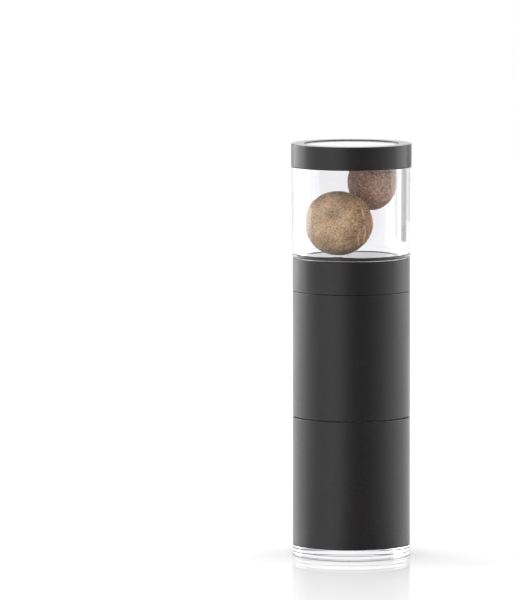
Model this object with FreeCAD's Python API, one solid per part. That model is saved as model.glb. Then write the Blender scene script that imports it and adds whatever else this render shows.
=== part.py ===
import FreeCAD, Part
import math
import os

# Twist nutmeg mill, in millimetres. +Z is up and the origin is the middle of the foot, on the table.
# From the table up: a clear base cap, the black grip with the grating disc, the black head that is turned
# against it, a black collar and a clear jar for spare nuts, and a black lid ring with an opal window.

# ---- Outside ----------------------------------------------------------------------------------------------
BARREL_D = 40.0        # black grip, head and collar, and the clear base cap
LID_FLARE = 0.5        # radial, how far the lid ring and the top of the jar stand out past the barrel
JAR_STEP = 0.15        # radial, how far the foot of the jar stands out past the barrel
BASE_H = 3.7           # base cap, table to grip
GRIP_H = 43.75         # grip, base cap to twist seam
HEAD_H = 42.9          # head, twist seam to collar
COLLAR_H = 11.3        # collar, head to jar
JAR_H = 30.9           # clear wall, collar to lid
LID_H = 7.9            # lid ring
SEAM_GAP = 0.3         # air between grip and head, so that they turn freely
EDGE = 0.35            # chamfer on the outside edges of the black pieces and the base cap

# ---- Clearances -------------------------------------------------------------------------------------------
RUN_GAP = 0.08         # radial, between faces that turn or slide on each other
PUSH_GAP = 0.15        # radial, between a plug and its bore, where an O-ring does the holding
BOND_GAP = 0.05        # radial, between pieces that are glued or pressed together
SEAL_GAP = 0.04        # radial, between an O-ring and the bore that it rubs in
END_GAP = 0.3          # along the axis, between pieces that must not touch
THREAD_GAP = 0.02      # radial, between a screw and the hole that it is driven into

# ---- O-rings ----------------------------------------------------------------------------------------------
SEAL_CORD_D = 1.1      # cord of the O-rings
GROOVE_PLAY = 0.3      # how much wider their grooves are than the cord

# ---- Base cap ---------------------------------------------------------------------------------------------
FOOT_W = 3.6           # width of the foot ring that meets the table
FOOT_RECESS = 0.1      # hollow under the cap, inside the foot ring
CAP_FLOOR = 3.3        # thickness of the cap's floor
CAP_WALL = 1.8         # wall of the cap's plug
CAP_PLUG_H = 4.0       # height of the plug that enters the grip

# ---- Grip -------------------------------------------------------------------------------------------------
SLEEVE_WALL = 1.8      # wall of the grip sleeve and of the head sleeve
RETAINER_H = 2.0       # ring under the grating disc
DISC_T = 0.6           # grating disc
DISC_LAP = 1.0         # how far the disc reaches under the chamber tube
DISC_PLAY = 0.1        # radial, between the disc and its retainer
FLANGE_H = 4.6         # lower flange of the chamber tube, which takes the screws
LIP_H = 2.5            # upper flange of the chamber tube, which carries the head
WAIST_WALL = 1.8       # wall of the chamber tube between its flanges
TOOTH_H = 0.7          # height of the grating teeth
TOOTH_FOOT_R = 0.95    # radius of a tooth at the disc
TOOTH_TIP_R = 0.6      # radius of a tooth at its cutting rim
TOOTH_HOLE_R = 0.42    # radius of the hole through a tooth
TOOTH_PITCH = 2.6      # distance between teeth
SCREW_COUNT = 3        # screws that hold the retainer
SCREW_R = 0.8          # radius of their thread
SCREW_HEAD_R = 1.4     # radius of their heads
SCREW_HEAD_T = 1.0     # height of their heads, sunk in the retainer
SCREW_PLAY = 0.1       # radial, around a screw in the retainer
SCREW_L = 5.0          # length of a screw under its head

# ---- Carrier ring: plugs into the grip, and the head turns in it -----------------------------------------
CARRIER_H = 9.5        # height of the ring
CARRIER_SKIRT = 1.05   # wall of the ring around the clip
CARRIER_LEDGE = 1.3    # ledge that the clip catches under
CLIP_POCKET = 2.6      # depth of the pocket for the clip
CLIP_T = 0.9           # spring clip
CLIP_PLAY = 0.15       # along the axis, between the clip and its ledge
CLIP_SIDE = 0.2        # radial, between the clip and its pocket
CLIP_GROOVE = 0.65     # depth of its groove in the plug of the head
CLIP_OPENING = 9.0     # gap between the ends of the clip
WASHER_T = 0.5         # slippery washer that the head turns on

# ---- Head -------------------------------------------------------------------------------------------------
PLUG_WALL = 1.3        # wall of the head's plug
PLUG_END = 0.6         # along the axis, between the plug and the chamber tube
PLUG_STEP = 0.6        # how much wider the plug's bore is than the nut chamber
CORE_FLANGE_H = 2.5    # lower flange of the head core
CORE_WALL = 1.5        # wall of the head core
GUIDE_RISE = 22.0      # top of the guide plate above the twist seam
GUIDE_T = 3.0          # guide plate
BUSH_R = 5.0           # guide bush
BUSH_FLANGE_R = 7.5    # its flange
BUSH_FLANGE_T = 1.2
BUSH_NOSE = 2.0        # how far the bush reaches down into the spring
SPRING_SEAT_R = 10.0   # washer above the spring
SPRING_SEAT_T = 0.6

# ---- Presser ----------------------------------------------------------------------------------------------
SHAFT_AF = 6.0         # hexagonal drive shaft, across flats
SHAFT_TIP = 1.8        # shaft above its clip
SHAFT_CLIP_T = 0.7
SHAFT_CLIP_R = 5.2
SHAFT_GROOVE_R = 2.3   # radius of the shaft in the clip's groove
SHAFT_CLIP_SLOT = 3.6  # mouth of the clip
PLATE_T = 4.0          # presser plate
PLATE_GAP = 0.5        # radial, between the plate and the nut chamber
HUB_R = 6.0            # hub of the plate
HUB_H = 5.6            # hub above the plate
PLATE_WEB = 3.0        # underside of the plate to the end of the shaft
CLAW_COUNT = 5         # pins that grip the nut
CLAW_R = 0.7
CLAW_L = 5.5           # length of a pin below the plate
CLAW_POINT = 1.6       # length of its point
CLAW_SEAT = 2.6        # length of a pin inside the plate
CLAW_CIRCLE_R = 9.5    # circle that the pins stand on
CLAW_REST = 0.5        # along the axis, between the pins and the teeth when the mill is empty
CENTRE_SCREW_R = 1.5   # screw that holds the plate to the shaft
CENTRE_SCREW_HEAD_R = 2.75
CENTRE_SCREW_HEAD_T = 1.6
CENTRE_SCREW_L = 8.0
SPRING_WIRE_R = 0.45
SPRING_PLAY = 0.95     # radial, between the hub of the plate and the spring round it
SPRING_TURNS = 9

# ---- Collar, jar and lid ----------------------------------------------------------------------------------
COLLAR_PLUG_H = 6.0    # height of the collar's plug in the head
COLLAR_PLUG_WALL = 2.4
JAR_SOCKET_H = 6.0     # depth of the jar's plug in the collar
JAR_PLUG_WALL = 2.2
JAR_WALL = 4.3         # clear wall at the lid
JAR_FLOOR = 1.9        # thickness of the jar's floor
JAR_FLOOR_RISE = 0.8   # floor inside the jar above the collar's top
LID_WALL = 1.75        # skirt of the lid ring
LID_WEB = 1.1          # thickness of the lid ring under the window
LID_AIR = 0.2          # along the axis, between the neck of the jar and the lid ring's web
WINDOW_T = 1.6         # opal disc in the lid
WINDOW_SINK = 0.25     # top of the disc below the top of the lid ring
WINDOW_LEDGE = 0.95    # ledge that carries the disc
WINDOW_LAP = 0.1       # radial, how far the ring reaches in over the jar's bore

# ---- Spare nuts, loose in the jar -------------------------------------------------------------------------
NUT_GAP = 0.2          # air between a nut and what it lies against
NUT_HEADROOM = 0.3     # air between the small nut and the window
LARGE_NUT = (13.3, 9.8, 11.1)      # half axes, before both nuts are grown to lean in the jar
LARGE_NUT_TURN = -46.0             # degrees about Z, made first
LARGE_NUT_TILT = -16.0             # degrees about Y, made second
LARGE_NUT_SIDE = 224.0             # degrees about Z to the side of the jar that it lies against
SMALL_NUT = (9.6, 7.2, 10.5)
SMALL_NUT_TURN = -38.0
SMALL_NUT_TILT = 8.0
SMALL_NUT_SIDE = 18.0
WALL_ARC = 60          # degrees to each side over which a nut is kept off the wall
LEAST_GROWTH = 0.5     # bounds of the search for their growth
MOST_GROWTH = 2.0
GROWTH_STEPS = 18      # halvings of the search

# ---- Levels and radii that follow -------------------------------------------------------------------------
Z_SEAM = BASE_H + GRIP_H
Z_COLLAR = Z_SEAM + HEAD_H
Z_JAR = Z_COLLAR + COLLAR_H
Z_LID = Z_JAR + JAR_H
Z_TOP = Z_LID + LID_H
Z_GRIP_TOP = Z_SEAM - SEAM_GAP / 2
Z_HEAD_LOW = Z_SEAM + SEAM_GAP / 2

BARREL_R = BARREL_D / 2
SLEEVE_BORE_R = BARREL_R - SLEEVE_WALL
PLUG_IN_SLEEVE_R = SLEEVE_BORE_R - PUSH_GAP
BONDED_IN_SLEEVE_R = SLEEVE_BORE_R - BOND_GAP

CARRIER_POCKET_R = PLUG_IN_SLEEVE_R - CARRIER_SKIRT
CARRIER_BORE_R = CARRIER_POCKET_R - CARRIER_LEDGE
HEAD_PLUG_R = CARRIER_BORE_R - RUN_GAP
HEAD_BORE_R = HEAD_PLUG_R - PLUG_WALL
CHAMBER_R = HEAD_BORE_R - PLUG_STEP

Z_CAP_TOP = BASE_H + CAP_PLUG_H
Z_RETAINER = Z_CAP_TOP + END_GAP
Z_DISC = Z_RETAINER + RETAINER_H
Z_CHAMBER = Z_DISC + DISC_T
Z_TEETH = Z_CHAMBER + TOOTH_H
Z_WASHER = Z_GRIP_TOP - WASHER_T
Z_CARRIER = Z_WASHER - CARRIER_H
Z_CARRIER_LEDGE = Z_CARRIER + CLIP_POCKET
Z_CLIP = Z_CARRIER_LEDGE - CLIP_PLAY - CLIP_T
Z_CAP_SEAL = BASE_H + CAP_PLUG_H / 2
Z_CARRIER_SEAL = (Z_CARRIER_LEDGE + Z_WASHER) / 2
Z_COLLAR_SEAL = Z_COLLAR - COLLAR_PLUG_H / 2

DISC_R = CHAMBER_R + DISC_LAP
RETAINER_SEAT_R = DISC_R + DISC_PLAY
SCREW_CIRCLE_R = (RETAINER_SEAT_R + BONDED_IN_SLEEVE_R) / 2
Z_SCREW_HEAD = Z_RETAINER + SCREW_HEAD_T

Z_GUIDE_TOP = Z_SEAM + GUIDE_RISE
Z_GUIDE_LOW = Z_GUIDE_TOP - GUIDE_T
Z_BUSH_TOP = Z_GUIDE_TOP + BUSH_FLANGE_T
Z_SPRING_TOP = Z_GUIDE_LOW - SPRING_SEAT_T

Z_CLAWS = Z_TEETH + CLAW_REST
Z_PLATE = Z_CLAWS + CLAW_L
Z_PLATE_TOP = Z_PLATE + PLATE_T
Z_CENTRE_SCREW_HEAD = Z_PLATE + CENTRE_SCREW_HEAD_T
Z_SHAFT = Z_PLATE + PLATE_WEB
Z_SHAFT_CLIP = Z_BUSH_TOP
Z_SHAFT_TOP = Z_SHAFT_CLIP + SHAFT_CLIP_T + SHAFT_TIP
PLATE_R = CHAMBER_R - PLATE_GAP
SPRING_R = HUB_R + SPRING_PLAY + SPRING_WIRE_R

JAR_FOOT_R = BARREL_R + JAR_STEP
LID_R = BARREL_R + LID_FLARE
LID_BORE_R = LID_R - LID_WALL
NECK_R = LID_BORE_R - PUSH_GAP
JAR_BORE_R = LID_R - JAR_WALL
Z_WINDOW = Z_TOP - WINDOW_SINK - WINDOW_T
Z_WEB = Z_WINDOW - LID_WEB
Z_NECK = Z_WEB - LID_AIR
Z_LID_SEAL = (Z_LID + Z_NECK) / 2
WINDOW_SEAT_R = JAR_BORE_R - WINDOW_LAP
Z_JAR_FLOOR = Z_JAR + JAR_FLOOR_RISE
Z_JAR_SOCKET = Z_JAR - JAR_SOCKET_H

UP = FreeCAD.Vector(0, 0, 1)
ORIGIN = FreeCAD.Vector(0, 0, 0)


# ---- Shapes that the pieces share -------------------------------------------------------------------------
def turned(*corners):
    """Solid turned about the mill's axis from the (radius, height) corners of its section."""
    points = [FreeCAD.Vector(r, 0, z) for r, z in corners]
    section = Part.Face(Part.makePolygon(points + points[:1]))
    return section.revolve(ORIGIN, UP, 360)


def ring(r_in, r_out, z_low, z_high):
    """Plain ring about the mill's axis."""
    return turned((r_in, z_low), (r_out, z_low), (r_out, z_high), (r_in, z_high))


def rod(radius, z_low, z_high, x=0.0, y=0.0):
    """Upright cylinder."""
    return Part.makeCylinder(radius, z_high - z_low, FreeCAD.Vector(x, y, z_low), UP)


def hexagon(across_flats, z_low, z_high):
    """Upright hexagonal bar about the mill's axis."""
    corner_r = across_flats / math.sqrt(3)
    corners = []
    for k in range(6):
        turn = math.radians(60 * k)
        corners.append(FreeCAD.Vector(corner_r * math.cos(turn), corner_r * math.sin(turn), z_low))
    base = Part.Face(Part.makePolygon(corners + corners[:1]))
    return base.extrude(FreeCAD.Vector(0, 0, z_high - z_low))


def around(count, radius):
    """Places (x, y) spread evenly on a circle about the mill's axis."""
    turns = [2 * math.pi * k / count for k in range(count)]
    return [(radius * math.cos(t), radius * math.sin(t)) for t in turns]


def sleeve(z_low, z_high):
    """Black barrel tube with its outside edges chamfered."""
    return turned(
        (SLEEVE_BORE_R, z_low),
        (BARREL_R - EDGE, z_low),
        (BARREL_R, z_low + EDGE),
        (BARREL_R, z_high - EDGE),
        (BARREL_R - EDGE, z_high),
        (SLEEVE_BORE_R, z_high),
    )


def seal_groove_r(bore_r):
    """Radius at the bottom of an O-ring's groove, for a ring that rubs in a bore."""
    return bore_r - SEAL_GAP - SEAL_CORD_D - BOND_GAP


def seal_groove(bore_r, plug_r, z_middle):
    """What an O-ring's groove takes out of a plug."""
    half = (SEAL_CORD_D + GROOVE_PLAY) / 2
    return ring(seal_groove_r(bore_r), plug_r + END_GAP, z_middle - half, z_middle + half)


def o_ring(bore_r, z_middle):
    """O-ring that rubs in a bore."""
    cord_r = SEAL_CORD_D / 2
    return Part.makeTorus(bore_r - SEAL_GAP - cord_r, cord_r, FreeCAD.Vector(0, 0, z_middle), UP)


def save(shape, node):
    """Writes one piece, after a look that each of its solids is sound."""
    for solid in shape.Solids:
        if not solid.isValid() or solid.Volume <= 0:
            raise ValueError(node + " is not a sound solid")
    shape.exportStep("parts/" + node + ".step")
    print(f"{node:16s} {len(shape.Solids)} solid(s) {shape.Volume:10.2f} mm3")


# ---- Base cap ---------------------------------------------------------------------------------------------
def base_cap():
    """Clear cap that the mill stands on: a shallow dish with a plug that enters the grip."""
    floor = FOOT_RECESS + CAP_FLOOR
    dish_r = PLUG_IN_SLEEVE_R - CAP_WALL
    foot_r = BARREL_R - FOOT_W
    body = turned(
        (0, FOOT_RECESS),
        (foot_r - FOOT_RECESS, FOOT_RECESS),
        (foot_r, 0),
        (BARREL_R - EDGE, 0),
        (BARREL_R, EDGE),
        (BARREL_R, BASE_H - EDGE),
        (BARREL_R - EDGE, BASE_H),
        (PLUG_IN_SLEEVE_R, BASE_H),
        (PLUG_IN_SLEEVE_R, Z_CAP_TOP - EDGE),
        (PLUG_IN_SLEEVE_R - EDGE, Z_CAP_TOP),
        (dish_r, Z_CAP_TOP),
        (dish_r, floor + EDGE),
        (dish_r - EDGE, floor),
        (0, floor),
    )
    return body.cut(seal_groove(SLEEVE_BORE_R, PLUG_IN_SLEEVE_R, Z_CAP_SEAL))


# ---- Grip -------------------------------------------------------------------------------------------------
def chamber_tube():
    """Tube that holds the nut over the disc, with a flange for the screws and one that carries the head."""
    waist_r = CHAMBER_R + WAIST_WALL
    body = turned(
        (CHAMBER_R, Z_CHAMBER),
        (BONDED_IN_SLEEVE_R, Z_CHAMBER),
        (BONDED_IN_SLEEVE_R, Z_CHAMBER + FLANGE_H),
        (waist_r, Z_CHAMBER + FLANGE_H),
        (waist_r, Z_CARRIER - LIP_H),
        (BONDED_IN_SLEEVE_R, Z_CARRIER - LIP_H),
        (BONDED_IN_SLEEVE_R, Z_CARRIER),
        (CHAMBER_R, Z_CARRIER),
    )
    hole_top = Z_SCREW_HEAD + SCREW_L + END_GAP
    for x, y in around(SCREW_COUNT, SCREW_CIRCLE_R):
        body = body.cut(rod(SCREW_R + THREAD_GAP, Z_CHAMBER - END_GAP, hole_top, x, y))
    return body


def tooth_places():
    """Middles of the teeth: one on the axis, and rings of them one pitch apart."""
    places = [(0.0, 0.0)]
    open_r = CHAMBER_R - TOOTH_FOOT_R - END_GAP
    for k in range(1, int(open_r / TOOTH_PITCH) + 1):
        circle_r = k * TOOTH_PITCH
        places += around(int(2 * math.pi * circle_r / TOOTH_PITCH), circle_r)
    return places


def grating_disc():
    """Steel disc with punched teeth: each is a small cone with a sharp rim round a hole."""
    cones = []
    holes = []
    for x, y in tooth_places():
        foot = FreeCAD.Vector(x, y, Z_CHAMBER)
        cones.append(Part.makeCone(TOOTH_FOOT_R, TOOTH_TIP_R, TOOTH_H, foot, UP))
        holes.append(rod(TOOTH_HOLE_R, Z_DISC - END_GAP, Z_TEETH + END_GAP, x, y))
    return rod(DISC_R, Z_DISC, Z_CHAMBER).multiFuse(cones).cut(Part.makeCompound(holes))


def disc_retainer():
    """Ring that holds the disc up against the chamber tube, with sunk places for the screw heads."""
    body = turned(
        (CHAMBER_R, Z_RETAINER),
        (BONDED_IN_SLEEVE_R, Z_RETAINER),
        (BONDED_IN_SLEEVE_R, Z_CHAMBER),
        (RETAINER_SEAT_R, Z_CHAMBER),
        (RETAINER_SEAT_R, Z_DISC),
        (CHAMBER_R, Z_DISC),
    )
    for x, y in around(SCREW_COUNT, SCREW_CIRCLE_R):
        body = body.cut(rod(SCREW_R + SCREW_PLAY, Z_RETAINER - END_GAP, Z_CHAMBER + END_GAP, x, y))
        body = body.cut(rod(SCREW_HEAD_R + SCREW_PLAY, Z_RETAINER - END_GAP, Z_SCREW_HEAD, x, y))
    return body


def retainer_screws():
    """Screws from below through the retainer into the chamber tube, each with a cross of two slots."""
    screws = []
    slot_w = SCREW_R / 2
    slot_l = SCREW_HEAD_R
    for x, y in around(SCREW_COUNT, SCREW_CIRCLE_R):
        head = rod(SCREW_HEAD_R, Z_RETAINER, Z_SCREW_HEAD, x, y)
        screw = head.fuse(rod(SCREW_R, Z_SCREW_HEAD, Z_SCREW_HEAD + SCREW_L, x, y))
        for along, across in ((slot_l, slot_w), (slot_w, slot_l)):
            corner = FreeCAD.Vector(x - along / 2, y - across / 2, Z_RETAINER)
            screw = screw.cut(Part.makeBox(along, across, SCREW_HEAD_T / 2, corner))
        screws.append(screw)
    return Part.makeCompound(screws)


# ---- Carrier ----------------------------------------------------------------------------------------------
def carrier_ring():
    """Ring that plugs into the grip. The head turns in its bore, held by a clip under its ledge."""
    body = turned(
        (CARRIER_POCKET_R, Z_CARRIER),
        (PLUG_IN_SLEEVE_R - EDGE, Z_CARRIER),
        (PLUG_IN_SLEEVE_R, Z_CARRIER + EDGE),
        (PLUG_IN_SLEEVE_R, Z_WASHER),
        (CARRIER_BORE_R, Z_WASHER),
        (CARRIER_BORE_R, Z_CARRIER_LEDGE),
        (CARRIER_POCKET_R, Z_CARRIER_LEDGE),
    )
    return body.cut(seal_groove(SLEEVE_BORE_R, PLUG_IN_SLEEVE_R, Z_CARRIER_SEAL))


def thrust_washer():
    """Slippery washer between the carrier ring and the head."""
    return ring(CARRIER_BORE_R, PLUG_IN_SLEEVE_R, Z_WASHER, Z_GRIP_TOP)


# ---- Head -------------------------------------------------------------------------------------------------
def head_core():
    """Core of the head: a plug that turns in the carrier, a wall round the spring, and the guide plate."""
    wall_r = HEAD_BORE_R + CORE_WALL
    body = turned(
        (HEAD_BORE_R, Z_CARRIER + PLUG_END),
        (HEAD_PLUG_R, Z_CARRIER + PLUG_END),
        (HEAD_PLUG_R, Z_GRIP_TOP),
        (BONDED_IN_SLEEVE_R, Z_GRIP_TOP),
        (BONDED_IN_SLEEVE_R, Z_GRIP_TOP + CORE_FLANGE_H),
        (wall_r, Z_GRIP_TOP + CORE_FLANGE_H),
        (wall_r, Z_GUIDE_LOW),
        (BONDED_IN_SLEEVE_R, Z_GUIDE_LOW),
        (BONDED_IN_SLEEVE_R, Z_GUIDE_TOP),
        (BUSH_R + BOND_GAP, Z_GUIDE_TOP),
        (BUSH_R + BOND_GAP, Z_GUIDE_LOW),
        (HEAD_BORE_R, Z_GUIDE_LOW),
    )
    groove_r = HEAD_PLUG_R - CLIP_GROOVE
    groove = ring(groove_r, HEAD_PLUG_R + END_GAP, Z_CLIP - BOND_GAP, Z_CLIP + CLIP_T + BOND_GAP)
    return body.cut(groove)


def swivel_clip():
    """Open spring clip in the plug's groove, under the carrier's ledge."""
    body = ring(HEAD_PLUG_R - CLIP_GROOVE + BOND_GAP, CARRIER_POCKET_R - CLIP_SIDE, Z_CLIP, Z_CLIP + CLIP_T)
    corner = FreeCAD.Vector(-CLIP_OPENING / 2, 0, Z_CLIP)
    return body.cut(Part.makeBox(CLIP_OPENING, BARREL_R, CLIP_T, corner))


def guide_bush():
    """Flanged bush with a hexagonal bore, in which the drive shaft slides but cannot turn."""
    body = turned(
        (0, Z_GUIDE_LOW - BUSH_NOSE),
        (BUSH_R, Z_GUIDE_LOW - BUSH_NOSE),
        (BUSH_R, Z_GUIDE_TOP),
        (BUSH_FLANGE_R, Z_GUIDE_TOP),
        (BUSH_FLANGE_R, Z_BUSH_TOP),
        (0, Z_BUSH_TOP),
    )
    return body.cut(hexagon(SHAFT_AF + 2 * RUN_GAP, Z_GUIDE_LOW - BUSH_NOSE, Z_BUSH_TOP))


def spring_seat():
    """Steel washer that spreads the spring's force under the guide plate."""
    return ring(BUSH_R + BOND_GAP, SPRING_SEAT_R, Z_SPRING_TOP, Z_GUIDE_LOW)


# ---- Presser ----------------------------------------------------------------------------------------------
def drive_shaft():
    """Hexagonal steel shaft, grooved for its clip and tapped at its lower end."""
    bar = hexagon(SHAFT_AF, Z_SHAFT, Z_SHAFT_TOP)
    groove = ring(SHAFT_GROOVE_R, SHAFT_AF, Z_SHAFT_CLIP - BOND_GAP, Z_SHAFT_CLIP + SHAFT_CLIP_T)
    tapped = rod(CENTRE_SCREW_R + THREAD_GAP, Z_SHAFT, Z_CENTRE_SCREW_HEAD + CENTRE_SCREW_L + END_GAP)
    return bar.cut(groove).cut(tapped)


def shaft_clip():
    """Clip in the shaft's groove. It comes down on the bush and stops the presser over the teeth."""
    body = ring(SHAFT_GROOVE_R + BOND_GAP, SHAFT_CLIP_R, Z_SHAFT_CLIP, Z_SHAFT_CLIP + SHAFT_CLIP_T)
    corner = FreeCAD.Vector(-SHAFT_CLIP_SLOT / 2, 0, Z_SHAFT_CLIP)
    return body.cut(Part.makeBox(SHAFT_CLIP_SLOT, SHAFT_CLIP_R, SHAFT_CLIP_T, corner))


def presser_plate():
    """Plate that pushes and turns the nut, with a hexagonal socket for the shaft in its hub."""
    body = turned(
        (0, Z_PLATE),
        (PLATE_R - EDGE, Z_PLATE),
        (PLATE_R, Z_PLATE + EDGE),
        (PLATE_R, Z_PLATE_TOP),
        (HUB_R, Z_PLATE_TOP),
        (HUB_R, Z_PLATE_TOP + HUB_H),
        (0, Z_PLATE_TOP + HUB_H),
    )
    body = body.cut(hexagon(SHAFT_AF + 2 * BOND_GAP, Z_SHAFT, Z_PLATE_TOP + HUB_H))
    body = body.cut(rod(CENTRE_SCREW_R + SCREW_PLAY, Z_PLATE, Z_SHAFT))
    body = body.cut(rod(CENTRE_SCREW_HEAD_R + SCREW_PLAY, Z_PLATE, Z_CENTRE_SCREW_HEAD))
    for x, y in around(CLAW_COUNT, CLAW_CIRCLE_R):
        body = body.cut(rod(CLAW_R + THREAD_GAP, Z_PLATE, Z_PLATE + CLAW_SEAT, x, y))
    return body


def presser_claws():
    """Pointed steel pins pressed into the plate."""
    claws = []
    for x, y in around(CLAW_COUNT, CLAW_CIRCLE_R):
        tip = FreeCAD.Vector(x, y, Z_CLAWS)
        point = Part.makeCone(0, CLAW_R, CLAW_POINT, tip, UP)
        claws.append(point.fuse(rod(CLAW_R, Z_CLAWS + CLAW_POINT, Z_PLATE + CLAW_SEAT, x, y)))
    return Part.makeCompound(claws)


def shaft_screw():
    """Screw from below through the plate into the shaft, with one slot in its head."""
    head = rod(CENTRE_SCREW_HEAD_R, Z_PLATE, Z_CENTRE_SCREW_HEAD)
    screw = head.fuse(rod(CENTRE_SCREW_R, Z_CENTRE_SCREW_HEAD, Z_CENTRE_SCREW_HEAD + CENTRE_SCREW_L))
    slot_w = CENTRE_SCREW_R / 2
    corner = FreeCAD.Vector(-CENTRE_SCREW_HEAD_R, -slot_w / 2, Z_PLATE)
    return screw.cut(Part.makeBox(2 * CENTRE_SCREW_HEAD_R, slot_w, CENTRE_SCREW_HEAD_T / 2, corner))


def presser_spring():
    """Compression spring between the presser plate and its seat under the guide plate."""
    z_low = Z_PLATE_TOP + SPRING_WIRE_R + BOND_GAP
    z_high = Z_SPRING_TOP - SPRING_WIRE_R - BOND_GAP
    height = z_high - z_low
    helix = Part.makeHelix(height / SPRING_TURNS, height, SPRING_R)
    helix.translate(FreeCAD.Vector(0, 0, z_low))
    start = FreeCAD.Vector(SPRING_R, 0, z_low)
    section = Part.Wire(Part.Edge(Part.Circle(start, FreeCAD.Vector(0, 1, 0), SPRING_WIRE_R)))
    return Part.Wire(helix).makePipeShell([section], True, True)


# ---- Collar, jar and lid ----------------------------------------------------------------------------------
def storage_collar():
    """Black collar that plugs into the head and holds the jar."""
    bore_r = PLUG_IN_SLEEVE_R - COLLAR_PLUG_WALL
    z_plug = Z_COLLAR - COLLAR_PLUG_H
    body = turned(
        (bore_r, z_plug),
        (PLUG_IN_SLEEVE_R - EDGE, z_plug),
        (PLUG_IN_SLEEVE_R, z_plug + EDGE),
        (PLUG_IN_SLEEVE_R, Z_COLLAR),
        (BARREL_R - EDGE, Z_COLLAR),
        (BARREL_R, Z_COLLAR + EDGE),
        (BARREL_R, Z_JAR - EDGE),
        (BARREL_R - EDGE, Z_JAR),
        (SLEEVE_BORE_R, Z_JAR),
        (SLEEVE_BORE_R, Z_JAR_SOCKET),
        (bore_r, Z_JAR_SOCKET),
    )
    return body.cut(seal_groove(SLEEVE_BORE_R, PLUG_IN_SLEEVE_R, Z_COLLAR_SEAL))


def storage_jar():
    """Clear thick-walled jar, glued into the collar, with a neck that the lid fits over."""
    recess_r = BONDED_IN_SLEEVE_R - JAR_PLUG_WALL
    body = turned(
        (recess_r, Z_JAR_SOCKET),
        (BONDED_IN_SLEEVE_R, Z_JAR_SOCKET),
        (BONDED_IN_SLEEVE_R, Z_JAR),
        (JAR_FOOT_R, Z_JAR),
        (LID_R, Z_LID),
        (NECK_R, Z_LID),
        (NECK_R, Z_NECK),
        (JAR_BORE_R, Z_NECK),
        (JAR_BORE_R, Z_JAR_FLOOR),
        (0, Z_JAR_FLOOR),
        (0, Z_JAR_FLOOR - JAR_FLOOR),
        (recess_r, Z_JAR_FLOOR - JAR_FLOOR),
    )
    return body.cut(seal_groove(LID_BORE_R, NECK_R, Z_LID_SEAL))


def lid_ring():
    """Black lid ring: a skirt over the jar's neck and a seat for the window."""
    ledge_r = WINDOW_SEAT_R - WINDOW_LEDGE
    return turned(
        (LID_BORE_R, Z_LID),
        (LID_R - EDGE, Z_LID),
        (LID_R, Z_LID + EDGE),
        (LID_R, Z_TOP - EDGE),
        (LID_R - EDGE, Z_TOP),
        (WINDOW_SEAT_R, Z_TOP),
        (WINDOW_SEAT_R, Z_WINDOW),
        (ledge_r, Z_WINDOW),
        (ledge_r, Z_WEB),
        (LID_BORE_R, Z_WEB),
    )


def lid_window():
    """Opal disc, glued on the ledge inside the lid ring."""
    return rod(WINDOW_SEAT_R - BOND_GAP, Z_WINDOW, Z_WINDOW + WINDOW_T)


# ---- Spare nuts -------------------------------------------------------------------------------------------
def attitude(turn, tilt):
    """Rotation of a nut: turned about Z, then tilted about Y."""
    turned_nut = FreeCAD.Rotation(UP, turn)
    return FreeCAD.Rotation(FreeCAD.Vector(0, 1, 0), tilt).multiply(turned_nut)


def reach(half_axes, rotation, direction):
    """How far a rotated ellipsoid reaches from its middle in a direction."""
    local = rotation.inverted().multVec(direction)
    return math.sqrt(sum((half * way) ** 2 for half, way in zip(half_axes, local)))


def level(degrees):
    """Level direction at an angle from +X."""
    return FreeCAD.Vector(math.cos(math.radians(degrees)), math.sin(math.radians(degrees)), 0)


def way_out(half_axes, rotation, side):
    """How far a rotated ellipsoid's middle can go to one side before it comes too near the jar's wall."""
    ways = []
    for turn in range(-WALL_ARC, WALL_ARC + 1):
        room = JAR_BORE_R - NUT_GAP - reach(half_axes, rotation, level(side + turn))
        ways.append(room / math.cos(math.radians(turn)))
    return min(ways)


def nut(half_axes, rotation, side, z_middle):
    """Ellipsoid that lies against one side of the jar's wall."""
    grow = FreeCAD.Matrix()
    grow.scale(*half_axes)
    middle = level(side) * way_out(half_axes, rotation, side)
    middle.z = z_middle
    place = FreeCAD.Placement(middle, rotation)
    return Part.makeSphere(1.0).transformGeometry(grow).transformed(place.toMatrix(), True)


def nuts_grown(growth):
    """Both nuts at a share of their stated size: the large one on the floor, the small one at the window."""
    large = [growth * half for half in LARGE_NUT]
    small = [growth * half for half in SMALL_NUT]
    large_attitude = attitude(LARGE_NUT_TURN, LARGE_NUT_TILT)
    small_attitude = attitude(SMALL_NUT_TURN, SMALL_NUT_TILT)
    large_z = Z_JAR_FLOOR + NUT_GAP + reach(large, large_attitude, UP)
    small_z = Z_WINDOW - NUT_HEADROOM - reach(small, small_attitude, UP)
    lower = nut(large, large_attitude, LARGE_NUT_SIDE, large_z)
    upper = nut(small, small_attitude, SMALL_NUT_SIDE, small_z)
    return lower, upper


def spare_nuts():
    """Both nuts, grown together until they all but meet, so that they lean on each other in the jar."""
    apart = LEAST_GROWTH
    too_big = MOST_GROWTH
    for _ in range(GROWTH_STEPS):
        growth = (apart + too_big) / 2
        lower, upper = nuts_grown(growth)
        if lower.distToShape(upper)[0] > NUT_GAP:
            apart = growth
        else:
            too_big = growth
    return nuts_grown(apart)


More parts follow.
